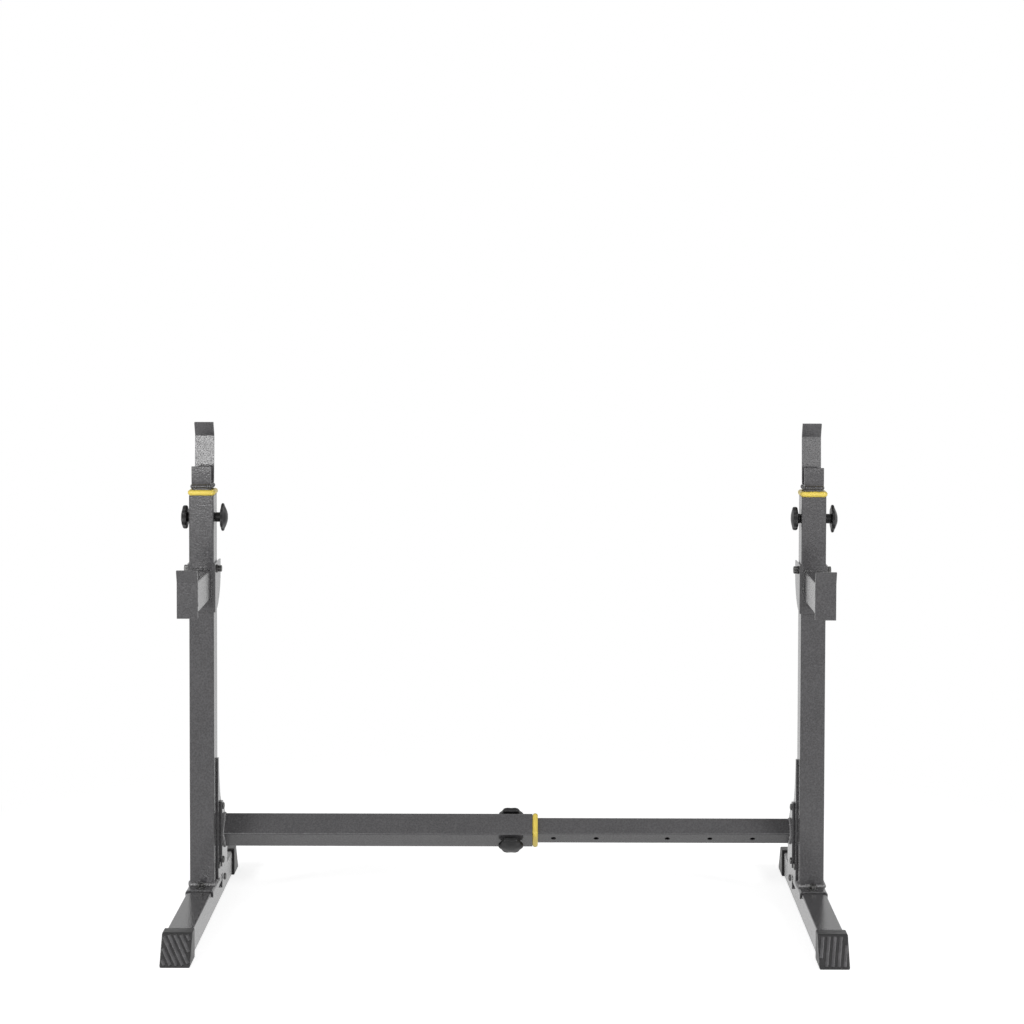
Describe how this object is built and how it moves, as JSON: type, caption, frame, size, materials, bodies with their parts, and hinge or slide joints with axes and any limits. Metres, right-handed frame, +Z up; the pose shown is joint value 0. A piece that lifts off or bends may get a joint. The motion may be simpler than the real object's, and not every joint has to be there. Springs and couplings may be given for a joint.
{
  "type": "squat stand",
  "caption": "Squat stand: two floor feet with telescoping barbell posts, J-hooks and spotter arms, joined by a telescoping cross bar.",
  "frame": {"origin": "on the floor, at the centre of the object's box", "axes": "+X to the right as the lifter faces the stands, along the cross bar; +Y away from the lifter; +Z up"},
  "size_m": [1.3344, 0.688, 0.9986],
  "materials": {
    "grey_paint": "glossy hammertone grey paint",
    "yellow_plastic": "satin yellow plastic",
    "black_plastic": "satin black plastic",
    "rubber": "matt black rubber",
    "zinc_steel": "zinc-plated steel"
  },
  "bodies": {
    "left_stand": {"left_foot_tube": "grey_paint", "left_boot_front": "rubber", "left_boot_rear": "rubber", "left_saddle": "grey_paint", "left_saddle_bolt_front": "zinc_steel", "left_saddle_bolt_rear": "zinc_steel", "left_upright_tube": "grey_paint", "left_upright_guide": "yellow_plastic", "left_gusset_plate": "grey_paint", "left_gusset_bolt_upright": "zinc_steel", "left_gusset_bolt_foot": "zinc_steel", "left_bar_end_plate": "grey_paint", "left_bar_end_bolt_upper": "zinc_steel", "left_bar_end_bolt_lower": "zinc_steel", "left_arm_bracket": "grey_paint", "left_arm_bolt_inner": "zinc_steel", "left_arm_bolt_outer": "zinc_steel", "left_arm_tube": "grey_paint", "left_arm_end_plate": "grey_paint", "bar_outer_tube": "grey_paint", "bar_guide": "yellow_plastic"},
    "right_stand": {"right_foot_tube": "grey_paint", "right_boot_front": "rubber", "right_boot_rear": "rubber", "right_saddle": "grey_paint", "right_saddle_bolt_front": "zinc_steel", "right_saddle_bolt_rear": "zinc_steel", "right_upright_tube": "grey_paint", "right_upright_guide": "yellow_plastic", "right_gusset_plate": "grey_paint", "right_gusset_bolt_upright": "zinc_steel", "right_gusset_bolt_foot": "zinc_steel", "right_bar_end_plate": "grey_paint", "right_bar_end_bolt_upper": "zinc_steel", "right_bar_end_bolt_lower": "zinc_steel", "right_arm_bracket": "grey_paint", "right_arm_bolt_inner": "zinc_steel", "right_arm_bolt_outer": "zinc_steel", "right_arm_tube": "grey_paint", "right_arm_end_plate": "grey_paint", "bar_inner_tube": "grey_paint", "bar_glide": "black_plastic"},
    "left_post": {"left_post_tube": "grey_paint", "left_post_glide": "black_plastic", "left_barbell_hook": "grey_paint"},
    "right_post": {"right_post_tube": "grey_paint", "right_post_glide": "black_plastic", "right_barbell_hook": "grey_paint"},
    "left_small_knob": {"left_small_knob_head": "black_plastic", "left_small_knob_stud": "zinc_steel"},
    "left_large_knob": {"left_large_knob_head": "black_plastic", "left_large_knob_stud": "zinc_steel"},
    "right_small_knob": {"right_small_knob_head": "black_plastic", "right_small_knob_stud": "zinc_steel"},
    "right_large_knob": {"right_large_knob_head": "black_plastic", "right_large_knob_stud": "zinc_steel"},
    "bar_front_knob": {"bar_front_knob_head": "black_plastic", "bar_front_knob_stud": "zinc_steel"},
    "bar_back_knob": {"bar_back_knob_head": "black_plastic", "bar_back_knob_stud": "zinc_steel"}
  },
  "joints": [
    {"name": "width_slide", "type": "slide", "parent": "left_stand", "child": "right_stand", "axis": [1, 0, 0], "range_m": [-0.4998, 0]},
    {"name": "left_post_slide", "type": "slide", "parent": "left_stand", "child": "left_post", "axis": [0, 0, 1], "range_m": [0, 0.6]},
    {"name": "left_small_knob_turn", "type": "hinge", "parent": "left_stand", "child": "left_small_knob", "pos_m": [-0.64825, 0.03, 0.806], "axis": [-1, 0, 0], "range_deg": [0, 720]},
    {"name": "left_large_knob_turn", "type": "hinge", "parent": "left_stand", "child": "left_large_knob", "pos_m": [-0.59825, 0.03, 0.806], "axis": [1, 0, 0], "range_deg": [0, 720]},
    {"name": "right_post_slide", "type": "slide", "parent": "right_stand", "child": "right_post", "axis": [0, 0, 1], "range_m": [0, 0.6]},
    {"name": "right_small_knob_turn", "type": "hinge", "parent": "right_stand", "child": "right_small_knob", "pos_m": [0.59175, 0.03, 0.806], "axis": [-1, 0, 0], "range_deg": [0, 720]},
    {"name": "right_large_knob_turn", "type": "hinge", "parent": "right_stand", "child": "right_large_knob", "pos_m": [0.64175, 0.03, 0.806], "axis": [1, 0, 0], "range_deg": [0, 720]},
    {"name": "bar_front_knob_turn", "type": "hinge", "parent": "left_stand", "child": "bar_front_knob", "pos_m": [0.00425, 0.07773, 0.13032], "axis": [0, -0.7071, -0.7071], "range_deg": [0, 720]},
    {"name": "bar_back_knob_turn", "type": "hinge", "parent": "left_stand", "child": "bar_back_knob", "pos_m": [0.00425, 0.11309, 0.16568], "axis": [0, 0.7071, 0.7071], "range_deg": [0, 720]}
  ]
}
